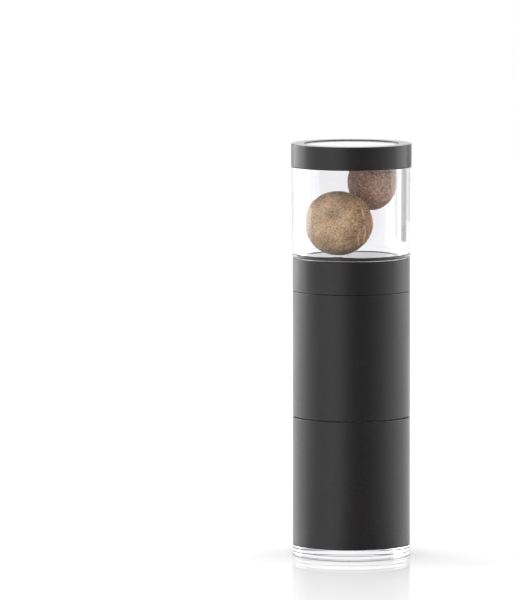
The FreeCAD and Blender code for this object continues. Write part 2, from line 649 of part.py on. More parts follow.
# ---- The mill ---------------------------------------------------------------------------------------------
def main():
    os.makedirs("parts", exist_ok=True)
    large_nut, small_nut = spare_nuts()
    pieces = {
        "base_cap": base_cap(),
        "base_cap_seal": o_ring(SLEEVE_BORE_R, Z_CAP_SEAL),
        "grip_sleeve": sleeve(BASE_H, Z_GRIP_TOP),
        "chamber_tube": chamber_tube(),
        "grating_disc": grating_disc(),
        "disc_retainer": disc_retainer(),
        "retainer_screws": retainer_screws(),
        "carrier_ring": carrier_ring(),
        "carrier_seal": o_ring(SLEEVE_BORE_R, Z_CARRIER_SEAL),
        "thrust_washer": thrust_washer(),
        "head_sleeve": sleeve(Z_HEAD_LOW, Z_COLLAR),
        "head_core": head_core(),
        "swivel_clip": swivel_clip(),
        "guide_bush": guide_bush(),
        "spring_seat": spring_seat(),
        "drive_shaft": drive_shaft(),
        "shaft_clip": shaft_clip(),
        "presser_plate": presser_plate(),
        "presser_claws": presser_claws(),
        "shaft_screw": shaft_screw(),
        "presser_spring": presser_spring(),
        "storage_collar": storage_collar(),
        "collar_seal": o_ring(SLEEVE_BORE_R, Z_COLLAR_SEAL),
        "storage_jar": storage_jar(),
        "lid_seal": o_ring(LID_BORE_R, Z_LID_SEAL),
        "lid_ring": lid_ring(),
        "lid_window": lid_window(),
        "spare_nut_large": large_nut,
        "spare_nut_small": small_nut,
    }
    for node, shape in pieces.items():
        save(shape, node)


main()
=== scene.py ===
"""Twist nutmeg mill: satin black barrel, clear jar with two spare nutmegs, clear base cap."""

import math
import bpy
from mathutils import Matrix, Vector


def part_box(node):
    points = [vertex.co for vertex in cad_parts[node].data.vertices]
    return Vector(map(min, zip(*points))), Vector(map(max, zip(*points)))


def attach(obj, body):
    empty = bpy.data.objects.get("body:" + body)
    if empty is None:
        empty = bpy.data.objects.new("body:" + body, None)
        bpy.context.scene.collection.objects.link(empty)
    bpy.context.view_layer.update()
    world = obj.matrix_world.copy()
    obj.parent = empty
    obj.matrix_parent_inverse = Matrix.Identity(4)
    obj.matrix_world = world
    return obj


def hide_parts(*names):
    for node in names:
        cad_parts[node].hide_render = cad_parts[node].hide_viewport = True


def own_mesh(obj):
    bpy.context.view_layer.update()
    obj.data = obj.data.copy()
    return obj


bl_info = {
    "name": "Twist Nutmeg Mill",
    "version": (1, 0, 0),
    "blender": (4, 5, 0),
    "location": "View3D > Sidebar > Nutmeg Mill",
    "description": "Dresses the packed twist nutmeg mill and stands it on a pale studio floor",
    "category": "Add Mesh",
}

from types import SimpleNamespace

import bmesh
import bpy
import numpy as np
from bpy.props import FloatProperty, FloatVectorProperty, IntProperty, PointerProperty
from mathutils import Matrix, Vector

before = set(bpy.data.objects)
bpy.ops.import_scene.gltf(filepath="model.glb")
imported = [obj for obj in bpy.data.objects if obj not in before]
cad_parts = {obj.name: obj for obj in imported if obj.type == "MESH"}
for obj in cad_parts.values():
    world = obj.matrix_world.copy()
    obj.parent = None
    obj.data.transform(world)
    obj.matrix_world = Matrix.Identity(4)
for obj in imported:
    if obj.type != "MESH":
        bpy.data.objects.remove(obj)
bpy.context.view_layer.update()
MM = 0.001
FULL_TURN = 2 * math.pi
SHARP = math.radians(40)  # an edge that turns by more than this is shaded as a crease
MERGE = 1e-4  # mm between two points that are one
ARC_STEPS = 7  # points on each rounding
HOLD_OUT = 0.025  # mm that a holding point lies past the end of a rounding, at most


# ---- Colours and nodes --------------------------------------------------------------------------
def linear(code):
    """sRGB hex code as linear red, green and blue with an alpha of 1."""
    channels = [int(code[i : i + 2], 16) / 255 for i in (0, 2, 4)]
    return (*[c / 12.92 if c <= 0.04045 else ((c + 0.055) / 1.055) ** 2.4 for c in channels], 1.0)


def shade(colour, factor):
    """The same colour, lighter or darker by a factor."""
    return (*[min(1.0, factor * channel) for channel in colour[:3]], 1.0)


def fit(tree, node, settings, links):
    """Sets up a node. A setting is the value of a socket, the stops of a colour ramp, or else a field."""
    for key, value in settings.items():
        if key == "stops":
            ramp = node.color_ramp.elements
            for _ in value[2:]:
                ramp.new(0.5)
            for stop, (position, colour) in zip(ramp, value):
                stop.position = position
                stop.color = colour
        elif isinstance(key, int) or key in node.inputs:
            node.inputs[key].default_value = value
        else:
            setattr(node, key, value)
    for key, source in links.items():
        tree.links.new(source.outputs[0] if hasattr(source, "outputs") else source, node.inputs[key])
    return node


def add(tree, kind, settings, links):
    """Adds a node with its settings and links. A link comes from an output or a node's first output."""
    return fit(tree, tree.nodes.new(kind), settings, links)


def new_material(name):
    """Material with its tree, its main shader and Object coordinates to start from."""
    material = bpy.data.materials.new(name)
    material.use_nodes = True
    tree = material.node_tree
    place = add(tree, "ShaderNodeTexCoord", {}, {}).outputs["Object"]
    return material, tree, tree.nodes["Principled BSDF"], place


# ---- Meshes -------------------------------------------------------------------------------------
def skin(name, grid, closed_rows=False, **fields):
    """Smooth closed mesh over a grid of points in millimetres, whose columns run full circle.

    Coinciding points are merged, so that a row at one point closes an end, and faces point outwards. A field
    gives a number for each point, kept as an attribute.
    """
    rows, columns = grid.shape[:2]
    number = np.arange(rows * columns).reshape(rows, columns)
    here = number if closed_rows else number[:-1]
    above = np.roll(number, -1, 0) if closed_rows else number[1:]
    quads = np.stack([here, np.roll(here, -1, 1), np.roll(above, -1, 1), above], -1).reshape(-1, 4)
    mesh = bpy.data.meshes.new(name)
    mesh.from_pydata((grid.reshape(-1, 3) * MM).tolist(), [], quads.tolist())
    for field, values in fields.items():
        mesh.attributes.new(field, "FLOAT", "POINT").data.foreach_set("value", values.ravel())
    shape = bmesh.new()
    shape.from_mesh(mesh)
    bmesh.ops.remove_doubles(shape, verts=shape.verts, dist=MERGE * MM)
    bmesh.ops.recalc_face_normals(shape, faces=shape.faces)
    shape.to_mesh(mesh)
    shape.free()
    mesh.shade_smooth()
    mesh.set_sharp_from_angle(angle=SHARP)
    return mesh


def rounded(*corners):
    """Outline of (radius, height, rounding) corners: each corner becomes an arc that touches both its sides.

    A point just past each end of an arc keeps the shading of the long sides flat.
    """
    places = np.array([corner[:2] for corner in corners])
    outline = []
    for k, (_, _, rounding) in enumerate(corners):
        corner = places[k]
        if rounding == 0:
            outline.append(corner)
            continue
        back = places[k - 1] - corner
        ahead = places[(k + 1) % len(corners)] - corner
        back = back / np.linalg.norm(back)
        ahead = ahead / np.linalg.norm(ahead)
        half = math.acos(back @ ahead) / 2
        reach = rounding / math.tan(half)
        middle = corner + (back + ahead) / np.linalg.norm(back + ahead) * rounding / math.sin(half)
        start = corner + back * reach - middle
        end = corner + ahead * reach - middle
        first = math.atan2(start[1], start[0])
        sweep = (math.atan2(end[1], end[0]) - first + math.pi) % FULL_TURN - math.pi
        turn = first + sweep * np.linspace(0, 1, ARC_STEPS)
        arc = middle + rounding * np.stack([np.cos(turn), np.sin(turn)], -1)
        hold = reach + min(rounding / 4, HOLD_OUT)
        outline.append(np.vstack([corner + back * hold, arc, corner + ahead * hold]))
    return np.vstack(outline)


def turned(name, outline, steps):
    """Turned piece: the point (r, h) of the outline lands at (r cos a, r sin a, h) for each angle a.

    An outline that starts and ends on the axis is left open there, and any other is closed.
    """
    angle = np.linspace(0, FULL_TURN, steps, endpoint=False)
    radius, height = outline[:, :1], outline[:, 1:]
    grid = np.stack([radius * np.cos(angle), radius * np.sin(angle), height + 0 * angle], -1)
    return skin(name, grid, closed_rows=outline[0, 0] > 0)


def show(mesh, material, body, slot, *nodes):
    """Makes a mesh a piece with a material, which rides on a body and stands for CAD nodes, which it hides.
    The slot is not used.
    """
    piece = bpy.data.objects.new(mesh.name, mesh)
    bpy.context.scene.collection.objects.link(piece)
    mesh.materials.append(material)
    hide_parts(*nodes)
    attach(piece, body)
    return piece


def span(node):
    """Lowest and highest height of a CAD node, and its largest radius, in millimetres."""
    low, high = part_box(node)
    return low.z / MM, high.z / MM, high.x / MM


def groove(face, bottom, width, node):
    """Corners of a groove round a face, level with the seal that a CAD node gives, from below."""
    low, high, _ = span(node)
    middle = (low + high) / 2
    return [
        (face, middle - width / 2, 0),
        (bottom, middle - width / 2, 0),
        (bottom, middle + width / 2, 0),
        (face, middle + width / 2, 0),
    ]


# ---- Materials ----------------------------------------------------------------------------------
def satin_abs(colours):
    """ABS, moulded in a fine spark-eroded mould: a satin skin with a broad, soft gloss.

    The mould's grain of 0.1 mm is too fine to show, so it is drawn at 0.4 mm and faint. Hands polish the
    skin in patches of about 14 mm, and the flat ends are lapped smoother than the rest.
    """
    material, tree, shader, place = new_material("satin_black_abs")
    grain = add(tree, "ShaderNodeTexNoise", {"Scale": 1 / (0.4 * MM), "Detail": 2.0}, {"Vector": place})
    cloud = add(tree, "ShaderNodeTexNoise", {"Scale": 1 / (14 * MM), "Detail": 3.0}, {"Vector": place})
    limits = {"From Min": 0.3, "From Max": 0.7, "To Min": 0.23, "To Max": 0.29}
    polish = add(tree, "ShaderNodeMapRange", limits, {"Value": cloud})
    normal = add(tree, "ShaderNodeNewGeometry", {}, {}).outputs["Normal"]
    up = add(tree, "ShaderNodeSeparateXYZ", {}, {0: normal}).outputs["Z"]
    limits = {"From Min": 0.9, "To Min": 1.0, "To Max": 0.4}
    flat = add(tree, "ShaderNodeMapRange", limits, {"Value": up})
    polish = add(tree, "ShaderNodeMath", {"operation": "MULTIPLY"}, {0: polish, 1: flat})
    stops = [(0.35, shade(colours.plastic, 0.88)), (0.65, colours.plastic)]
    tone = add(tree, "ShaderNodeValToRGB", {"stops": stops}, {"Fac": cloud})
    bump = add(tree, "ShaderNodeBump", {"Strength": 0.05, "Distance": 0.05 * MM}, {"Height": grain})
    fit(tree, shader, {"IOR": 1.5}, {"Base Color": tone, "Roughness": polish, "Normal": bump})
    return material


def clear_acrylic(colours):
    """Acrylic, moulded in a polished mould: water clear and glossy.

    Its flow left faint waves 15 mm long, and fingers leave smears of 5 mm.
    """
    material, tree, shader, place = new_material("clear_acrylic")
    wave = add(tree, "ShaderNodeTexNoise", {"Scale": 1 / (15 * MM), "Detail": 0.0}, {"Vector": place})
    bump = add(tree, "ShaderNodeBump", {"Strength": 0.1, "Distance": 0.02 * MM}, {"Height": wave})
    smear = add(tree, "ShaderNodeTexNoise", {"Scale": 1 / (5 * MM), "Detail": 4.0}, {"Vector": place})
    limits = {"From Min": 0.45, "From Max": 0.8, "To Min": 0.0, "To Max": 0.03}
    haze = add(tree, "ShaderNodeMapRange", limits, {"Value": smear})
    settings = {"Base Color": colours.acrylic, "IOR": 1.49, "Transmission Weight": 1.0}
    fit(tree, shader, settings, {"Roughness": haze, "Normal": bump})
    return material


def opal_acrylic(colours):
    """Opal acrylic, cast and polished: milk white all through, with a hard gloss and a smear of touch."""
    material, tree, shader, place = new_material("opal_acrylic")
    smear = add(tree, "ShaderNodeTexNoise", {"Scale": 1 / (5 * MM), "Detail": 4.0}, {"Vector": place})
    limits = {"From Min": 0.45, "From Max": 0.8, "To Min": 0.04, "To Max": 0.09}
    haze = add(tree, "ShaderNodeMapRange", limits, {"Value": smear})
    glow = {"Subsurface Weight": 0.2, "Subsurface Scale": 1 * MM}
    fit(tree, shader, {"Base Color": colours.opal, "IOR": 1.49, **glow}, {"Roughness": haze})
    return material


def grey_acetal(colours):
    """Acetal, moulded: waxy and slightly cloudy, with a soft gloss."""
    material, tree, shader, place = new_material("grey_acetal")
    cloud = add(tree, "ShaderNodeTexNoise", {"Scale": 1 / (4 * MM), "Detail": 4.0}, {"Vector": place})
    stops = [(0.3, shade(colours.acetal, 0.86)), (0.7, colours.acetal)]
    tone = add(tree, "ShaderNodeValToRGB", {"stops": stops}, {"Fac": cloud})
    bump = add(tree, "ShaderNodeBump", {"Strength": 0.08, "Distance": 0.05 * MM}, {"Height": cloud})
    settings = {"Roughness": 0.42, "IOR": 1.48, "Subsurface Weight": 0.08, "Subsurface Scale": 0.5 * MM}
    fit(tree, shader, settings, {"Base Color": tone, "Normal": bump})
    return material


def drawn_metal(name, colour, rough, stretch, line):
    """Metal that was drawn, rolled or ground: its lines run along the axis whose stretch is under 1.

    They are `line` mm wide. With no such axis they are an even grain, as of a tumbled clip or zinc plate.
    """
    material, tree, shader, place = new_material(name)
    flow = add(tree, "ShaderNodeMapping", {"Scale": stretch}, {"Vector": place})
    lines = add(tree, "ShaderNodeTexNoise", {"Scale": 1 / (line * MM), "Detail": 3.0}, {"Vector": flow})
    limits = {"From Min": 0.3, "From Max": 0.7, "To Min": rough - 0.07, "To Max": rough + 0.07}
    polish = add(tree, "ShaderNodeMapRange", limits, {"Value": lines})
    stops = [(0.3, shade(colour, 0.82)), (0.7, colour)]
    tone = add(tree, "ShaderNodeValToRGB", {"stops": stops}, {"Fac": lines})
    bump = add(tree, "ShaderNodeBump", {"Strength": 0.3, "Distance": 0.03 * MM}, {"Height": lines})
    fit(tree, shader, {"Metallic": 1.0}, {"Base Color": tone, "Roughness": polish, "Normal": bump})
    return material


def sintered_bronze(colours):
    """Bronze, pressed from powder and soaked in oil: dull gold brown, with pores 0.3 mm apart."""
    material, tree, shader, place = new_material("sintered_bronze")
    pores = add(tree, "ShaderNodeTexVoronoi", {"Scale": 1 / (0.3 * MM)}, {"Vector": place})
    stops = [(0.12, shade(colours.bronze, 0.35)), (0.3, colours.bronze)]
    tone = add(tree, "ShaderNodeValToRGB", {"stops": stops}, {"Fac": pores})
    bump = add(tree, "ShaderNodeBump", {"Strength": 0.5, "Distance": 0.05 * MM}, {"Height": pores})
    fit(tree, shader, {"Metallic": 1.0, "Roughness": 0.45}, {"Base Color": tone, "Normal": bump})
    return material


def soft_polymer(name, colour, rough, glow):
    """Silicone or PTFE, moulded or cut: slightly see-through, with a dusty bloom in specks of 1 mm."""
    material, tree, shader, place = new_material(name)
    bloom = add(tree, "ShaderNodeTexNoise", {"Scale": 1 / (1.2 * MM), "Detail": 5.0}, {"Vector": place})
    stops = [(0.35, shade(colour, 0.88)), (0.65, colour)]
    tone = add(tree, "ShaderNodeValToRGB", {"stops": stops}, {"Fac": bloom})
    settings = {"Roughness": rough, "IOR": 1.41, "Subsurface Weight": glow, "Subsurface Scale": 0.6 * MM}
    fit(tree, shader, settings, {"Base Color": tone})
    return material


def nutmeg_skin(name, crease, shell, ridge):
    """Nutmeg seed, dried: woody and dull, dark in creases, paler on ribs, with a painted highlight on its
    cheek.

    The relief attribute is the mesh's own height, from 0 in a crease to 1 at its highest, and pale is 1 on
    a rib and up to 0.6 on the cheek, where it is a painted highlight of the soft box on that side. The
    skin's specks of 0.2 mm are too fine to show, so they are drawn at 0.7 mm, over blotches of 6 mm.
    """
    material, tree, shader, place = new_material(name)
    relief = add(tree, "ShaderNodeAttribute", {"attribute_name": "relief"}, {}).outputs["Fac"]
    pale = add(tree, "ShaderNodeAttribute", {"attribute_name": "pale"}, {}).outputs["Fac"]
    fine = {"Scale": 1 / (0.7 * MM), "Detail": 2.0, "Roughness": 0.7}
    speck = add(tree, "ShaderNodeTexNoise", fine, {"Vector": place})
    blotch = add(tree, "ShaderNodeTexNoise", {"Scale": 1 / (6 * MM), "Detail": 3.0}, {"Vector": place})
    level = add(tree, "ShaderNodeMath", {"operation": "MULTIPLY", 1: 0.45}, {0: relief})
    level = add(tree, "ShaderNodeMath", {"operation": "MULTIPLY_ADD", 1: 0.8}, {0: speck, 2: level})
    # pale lifts the tone on the ribs and on the cheek; on the cheek the lift is a painted highlight
    level = add(tree, "ShaderNodeMath", {"operation": "MULTIPLY_ADD", 1: 0.4}, {0: pale, 2: level})
    stops = [(0.38, crease), (0.68, shell), (1.0, ridge)]
    tone = add(tree, "ShaderNodeValToRGB", {"stops": stops}, {"Fac": level})
    limits = {"From Min": 0.35, "From Max": 0.65, "To Min": 0.75, "To Max": 1.15}
    patch = add(tree, "ShaderNodeMapRange", limits, {"Value": blotch})
    colour = add(tree, "ShaderNodeVectorMath", {"operation": "SCALE"}, {0: tone, "Scale": patch})
    bump = add(tree, "ShaderNodeBump", {"Strength": 0.5, "Distance": 0.12 * MM}, {"Height": speck})
    fit(tree, shader, {"Roughness": 0.62, "IOR": 1.45}, {"Base Color": colour, "Normal": bump})
    return material


# ---- Settings -----------------------------------------------------------------------------------
def length(title, description, millimetres):
    """Length property with a default in millimetres."""
    default = millimetres * MM
    return FloatProperty(
        name=title, description=description, default=default, min=0, unit="LENGTH", precision=5
    )


def tint(title, description, code):
    """Colour property with an sRGB hex default."""
    return FloatVectorProperty(
        name=title, description=description, default=linear(code), min=0, max=1, size=4, subtype="COLOR"
    )


class MillSizes(bpy.types.PropertyGroup):
    """Sizes of the visible pieces"""

    sleeve_bore: length("Sleeve bore", "Radius inside the black sleeves", 18.2)
    plug: length("Plug", "Radius of the plugs that enter the sleeves", 18.05)
    bonded: length("Bonded plug", "Radius of the jar's plug in the collar", 18.15)
    collar_bore: length("Collar bore", "Radius inside the collar's plug", 15.65)
    seal_groove: length("Seal groove", "Radius at the bottom of the plugs' grooves", 17.01)
    neck_groove: length("Neck groove", "Radius at the bottom of the neck's groove", 17.56)
    groove_width: length("Groove width", "Width of the seals' grooves", 1.4)
    edge: length("Edge", "Rounding of the outside edges", 0.35)
    joint_edge: length("Joint edge", "Rounding of the edges that hide in a joint", 0.1)
    mouth_edge: length("Mouth edge", "Rounding of the mouths and of the plugs' ends", 0.2)
    floor_corner: length("Floor corner", "Rounding between a clear wall and its floor", 0.5)
    jar_bore: length("Jar bore", "Radius inside the jar", 16.2)
    jar_plug_wall: length("Jar plug wall", "Wall of the jar's plug in the collar", 2.2)
    jar_foot: length("Jar foot", "How much smaller the jar's radius is at its foot", 0.35)
    jar_foot_edge: length("Jar foot edge", "Rounding of the jar's lower edge", 0.25)
    jar_floor: length("Jar floor", "Thickness of the jar's floor", 1.9)
    floor_step: length("Floor step", "Height of the jar's floor above the collar", 0.8)
    neck: length("Neck", "Radius of the jar's neck", 18.6)
    skirt: length("Skirt", "Radius inside the lid ring's skirt", 18.75)
    skirt_edge: length("Skirt edge", "Rounding inside the skirt's mouth", 0.15)
    web: length("Web", "Thickness of the lid ring's web, which carries the window", 1.1)
    window_ledge: length("Window ledge", "Width of the ledge that the window lies on", 0.95)
    window_gap: length("Window gap", "Gap round the window", 0.05)
    window_edge: length("Window edge", "Rounding of the lid ring's edge round the window", 0.06)
    window_sink: length("Window sink", "How far the window's top lies below its CAD node's", 0.1)
    foot_ring: length("Foot ring", "Width of the ring that the base cap stands on", 3.6)
    foot_recess: length("Foot recess", "Depth of the hollow inside that ring", 0.1)
    foot_line: length("Foot line", "Height of the fine line round the base cap", 1.6)
    line_depth: length("Line depth", "Depth of that line, and half its width", 0.11)
    dish_wall: length("Dish wall", "Wall of the base cap's plug, round its dish", 1.8)
    dish_edge: length("Dish edge", "Rounding of the dish's rim", 0.3)
    dish_floor: length("Dish floor", "Height of the dish's floor above the table", 3.25)
    spring: length("Spring", "Radius of the spring, to the middle of its wire", 7.4)
    wire: length("Wire", "Radius of the spring's wire", 0.45)
    coils: IntProperty(name="Coils", description="Turns of the spring", default=12, min=3)
    furrows: length("Furrows", "Depth of the furrows in the nutmegs", 0.3)
    steps: IntProperty(name="Steps", description="Faces round each turned piece", default=192, min=24)


class MillColours(bpy.types.PropertyGroup):
    """Colours of the materials"""

    plastic: tint("Plastic", "Satin black ABS", "1E1B1C")
    acrylic: tint("Acrylic", "Clear acrylic", "F8F8FA")
    opal: tint("Opal", "Opal acrylic", "E2E1E4")
    acetal: tint("Acetal", "Grey acetal of the inside pieces", "A6A9AB")
    steel: tint("Steel", "Stainless steel", "CBC8C3")
    spring: tint("Spring", "Spring steel", "B4B3B1")
    zinc: tint("Zinc", "Zinc plate with a bluish passivation", "BEC3C9")
    bronze: tint("Bronze", "Sintered bronze", "B08A58")
    silicone: tint("Silicone", "Silicone seals", "DADAD5")
    ptfe: tint("PTFE", "PTFE washer", "EEEEEA")
    furrow: tint("Furrow", "Furrows of the large nutmeg", "794F34")
    shell: tint("Shell", "Skin of the large nutmeg", "D19F6C")
    vein: tint("Vein", "Raised veins of the large nutmeg", "F5D8AC")
    grey_furrow: tint("Grey furrow", "Furrows of the small nutmeg", "6C3B2B")
    grey_shell: tint("Grey shell", "Skin of the small nutmeg", "B68665")
    grey_vein: tint("Grey vein", "Raised veins of the small nutmeg", "E4C6AC")
    floor: tint("Floor", "Studio floor", "FDFDFD")
    sweep: tint("Sweep", "White paper that the floor runs into", "FFFFFF")


def sizes_in_mm(context):
    """The mill's sizes by name, with each length in millimetres."""
    sizes = context.scene.mill_sizes
    values = {}
    for name in MillSizes.__annotations__:
        value = getattr(sizes, name)
        values[name] = value / MM if sizes.bl_rna.properties[name].unit == "LENGTH" else value
    return SimpleNamespace(**values)


# ---- Pieces -------------------------------------------------------------------------------------
class MILL_OT_barrel(bpy.types.Operator):
    """Satin black sleeves, collar and lid ring, turned with rounded edges"""

    bl_idname = "mill.barrel"
    bl_label = "Barrel, collar and lid"

    def execute(self, context):
        size = sizes_in_mm(context)
        black = satin_abs(context.scene.mill_colours)
        bore, plug, edge, hidden = size.sleeve_bore, size.plug, size.edge, size.joint_edge
        for node, body in (("grip_sleeve", "grip"), ("head_sleeve", "head")):
            low, high, radius = span(node)
            outline = rounded(
                (bore, low, hidden),
                (radius, low, edge),
                (radius, high, edge),
                (bore, high, hidden),
            )
            show(turned("black_" + node, outline, size.steps), black, body, "black_abs", node)

        low, high, radius = span("storage_collar")
        shoulder = span("head_sleeve")[1]
        socket = span("storage_jar")[0]
        outline = rounded(
            (size.collar_bore, low, size.mouth_edge),
            (plug, low, edge),
            *groove(plug, size.seal_groove, size.groove_width, "collar_seal"),
            (plug, shoulder, 0),
            (radius, shoulder, edge),
            (radius, high, edge),
            (bore, high, hidden),
            (bore, socket, 0),
            (size.collar_bore, socket, size.mouth_edge),
        )
        show(turned("black_collar", outline, size.steps), black, "store", "black_abs", "storage_collar")

        low, high, radius = span("lid_ring")
        pane, _, seat = span("lid_window")
        seat += size.window_gap
        ledge = seat - size.window_ledge
        web = pane - size.web
        outline = rounded(
            (size.skirt, low, size.skirt_edge),
            (radius, low, edge),
            (radius, high, edge),
            (seat, high, size.window_edge),
            (seat, pane, 0),
            (ledge, pane, hidden),
            (ledge, web, hidden),
            (size.skirt, web, size.mouth_edge),
        )
        show(turned("black_lid_ring", outline, size.steps), black, "lid", "black_abs", "lid_ring")
        return {"FINISHED"}


class MILL_OT_clear(bpy.types.Operator):
    """Clear acrylic jar and base cap, and the lid's opal window"""

    bl_idname = "mill.clear"
    bl_label = "Jar, window and base cap"

    def execute(self, context):
        size = sizes_in_mm(context)
        clear = clear_acrylic(context.scene.mill_colours)
        edge, hidden, mouth, width = size.edge, size.joint_edge, size.mouth_edge, size.groove_width
        low, high, radius = span("storage_jar")
        foot = span("storage_collar")[1]
        shoulder = span("lid_ring")[0]
        floor = foot + size.floor_step
        under = floor - size.jar_floor
        recess = size.bonded - size.jar_plug_wall
        outline = rounded(
            (0, under, 0),
            (recess, under, 0),
            (recess, low, mouth),
            (size.bonded, low, mouth),
            (size.bonded, foot, 0),
            (radius - size.jar_foot, foot, size.jar_foot_edge),
            (radius, shoulder, hidden),
            (size.neck, shoulder, 0),
            *groove(size.neck, size.neck_groove, width, "lid_seal"),
            (size.neck, high, mouth),
            (size.jar_bore, high, mouth),
            (size.jar_bore, floor, size.floor_corner),
            (0, floor, 0),
        )
        show(turned("clear_jar", outline, size.steps), clear, "store", "clear_acrylic", "storage_jar")

        low, high, radius = span("lid_window")
        top = high - size.window_sink
        outline = rounded((0, low, 0), (radius, low, hidden), (radius, top, hidden), (0, top, 0))
        opal = opal_acrylic(context.scene.mill_colours)
        show(turned("opal_window", outline, size.steps), opal, "lid", "opal_acrylic", "lid_window")

        _, high, radius = span("base_cap")
        shoulder = span("grip_sleeve")[0]
        inner = radius - size.foot_ring
        recess = size.foot_recess
        line, depth = size.foot_line, size.line_depth
        dish = size.plug - size.dish_wall
        outline = rounded(
            (0, recess, 0),
            (inner - recess, recess, 0),
            (inner, 0, 0),
            (radius, 0, edge),
            (radius, line - depth, 0),
            (radius - depth, line, 0),
            (radius, line + depth, 0),
            (radius, shoulder, edge),
            (size.plug, shoulder, 0),
            *groove(size.plug, size.seal_groove, width, "base_cap_seal"),
            (size.plug, high, edge),
            (dish, high, size.dish_edge),
            (dish, size.dish_floor, size.floor_corner),
            (0, size.dish_floor, 0),
        )
        show(turned("clear_base_cap", outline, size.steps), clear, "base", "clear_acrylic", "base_cap")
        return {"FINISHED"}


WAVES = 60  # plane waves in a random field
WAVE_SPREAD = (0.75, 1.35)  # lengths of the shortest and the longest, as shares of the stated one


def wave_field(points, wave, random, way=(0, 0, 1), stretch=1.0):
    """Random field of spread 1: plane waves about `wave` mm long, drawn out along a way by `stretch`."""
    bearing = random.normal(size=(WAVES, 3))
    bearing /= np.linalg.norm(bearing, axis=1, keepdims=True)
    bearing *= FULL_TURN / (wave * random.uniform(*WAVE_SPREAD, (WAVES, 1)))
    way = np.array(way) / np.linalg.norm(way)
    bearing -= (1 - 1 / stretch) * (bearing @ way)[:, None] * way
    phase = random.uniform(0, FULL_TURN, WAVES)
    return np.cos(points @ bearing.T + phase).sum(-1) * math.sqrt(2 / WAVES)


# Lengths of the waves in a nutmeg's skin, in millimetres.
SKIN_WAVES = {
    "cheek_rim": 8,
    "bend": 7,
    "crease": 3.2,
    "wrinkle": 1.6,
    "rib_bend": 8,
    "rib_break": 5,
    "grain": 0.9,
    "lump": 9,
}
NUT_ROWS = 241  # rows of points from pole to pole of a nutmeg
NUT_COLUMNS = 400  # points in each row
RIBS = 14  # ribs on half of the way round a nutmeg

# The half axes are in millimetres, and `order` says which of them are a, b and c in the formula. The cheek
# (a side worn smooth and painted paler, a painted highlight from the soft box on that side), the ribs and
# the way that the ribs run are directions in the world, and the two angles are in degrees.
NUTMEGS = (
    {
        "node": "spare_nut_large",
        "name": "nutmeg_large",
        "half_axes": (13.3, 9.8, 11.1),
        "order": (0, 1, 2),
        "turn": -46,
        "tilt": -16,
        "cheek": (-0.8, -0.6, 0.1),
        "ribs": (0.75, -0.65, -0.1),
        "rib_way": (0.35, 0, -1),
        "seed": 7,
    },
    {
        "node": "spare_nut_small",
        "name": "nutmeg_small",
        "half_axes": (9.6, 7.2, 10.5),
        "order": (2, 0, 1),
        "turn": -38,
        "tilt": 8,
        "cheek": (0.8, -0.6, 0.1),
        "ribs": (0.2, 0.8, 0.6),
        "rib_way": (0.6, 0, -1),
        "seed": 11,
    },
)


def nutmeg(depth, node, name, half_axes, order, turn, tilt, cheek, ribs, rib_way, seed):
    """Nutmeg inside its CAD node: an ellipsoid pushed in along its normals, everywhere but on its ridges.

    A point at latitude v and longitude u is (a cos v, b sin v cos u, c sin v sin u), with a the longest half
    axis, turned about Z and then tilted about Y. Creases run along the zero lines of two fields, drawn out
    along that axis and bent by three others. Ribs run along wavy meridians about another axis, on one side
    only. A grain and some broad lumps lie over them, and the cheek is a side towards a soft box that is worn
    half smooth and painted paler, a painted highlight.
    """
    random = np.random.default_rng(seed)
    tilted = Matrix.Rotation(math.radians(tilt), 3, "Y") @ Matrix.Rotation(math.radians(turn), 3, "Z")
    rotation = np.array(tilted)
    low, high = (np.array(corner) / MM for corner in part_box(node))
    growth = (high[2] - low[2]) / 2 / np.linalg.norm(rotation[2] * half_axes)
    v = np.linspace(0, math.pi, NUT_ROWS)[:, None]
    u = np.linspace(0, FULL_TURN, NUT_COLUMNS, endpoint=False)[None, :]
    unit = np.stack([np.cos(v) + 0 * u, np.sin(v) * np.cos(u), np.sin(v) * np.sin(u)], -1)
    unit = unit[..., np.argsort(order)]
    axes = growth * np.array(half_axes)
    points = (unit * axes) @ rotation.T
    normal = (unit / axes) @ rotation.T
    normal /= np.linalg.norm(normal, axis=-1, keepdims=True)

    rim = wave_field(points, SKIN_WAVES["cheek_rim"], random)
    # The cheek: creases half as deep, worn smooth, and a paler tone there that is a painted highlight
    worn_and_lit = np.clip(0.9 * (normal @ np.array(cheek)) - 0.1 + 0.15 * rim, 0, 1)
    bends = [wave_field(points, SKIN_WAVES["bend"], random) for _ in range(3)]
    bent = points + 0.5 * np.stack(bends, -1)
    long_way = rotation[:, order[0]]
    coarse = np.exp(-4 * np.abs(wave_field(bent, SKIN_WAVES["crease"], random, long_way, 2.0)))
    fine = np.exp(-3 * np.abs(wave_field(bent, SKIN_WAVES["wrinkle"], random, long_way, 1.3)))

    ribbed = np.clip(4 * (normal @ (np.array(ribs) / np.linalg.norm(ribs))) - 2.4, 0, 1)
    pole = np.array(rib_way) / np.linalg.norm(rib_way)
    level = np.cross(pole, (0, 1, 0))
    about = np.arctan2(points @ np.cross(pole, level), points @ level)
    wavy = RIBS * about + 0.9 * wave_field(points, SKIN_WAVES["rib_bend"], random)
    rib = np.exp(-4 * np.abs(np.sin(wavy))) * ribbed
    rib *= np.clip(0.7 + 0.5 * wave_field(points, SKIN_WAVES["rib_break"], random), 0, 1)

    height = 1.2 * rib - (0.5 * coarse + 0.5 * fine) * (1 - 0.6 * worn_and_lit)
    height += 0.2 * wave_field(points, SKIN_WAVES["grain"], random)
    low_height, high_height = np.quantile(height, (0.02, 0.995))
    relief = np.clip((height - low_height) / (high_height - low_height), 0, 1)
    lumps = np.clip(1.5 - wave_field(points, SKIN_WAVES["lump"], random), 0, 3)
    points += normal * (0.1 - depth * (1 - relief) - 0.05 * lumps)[..., None]
    return skin(name, points + (low + high) / 2, relief=relief, pale=0.6 * worn_and_lit + rib)


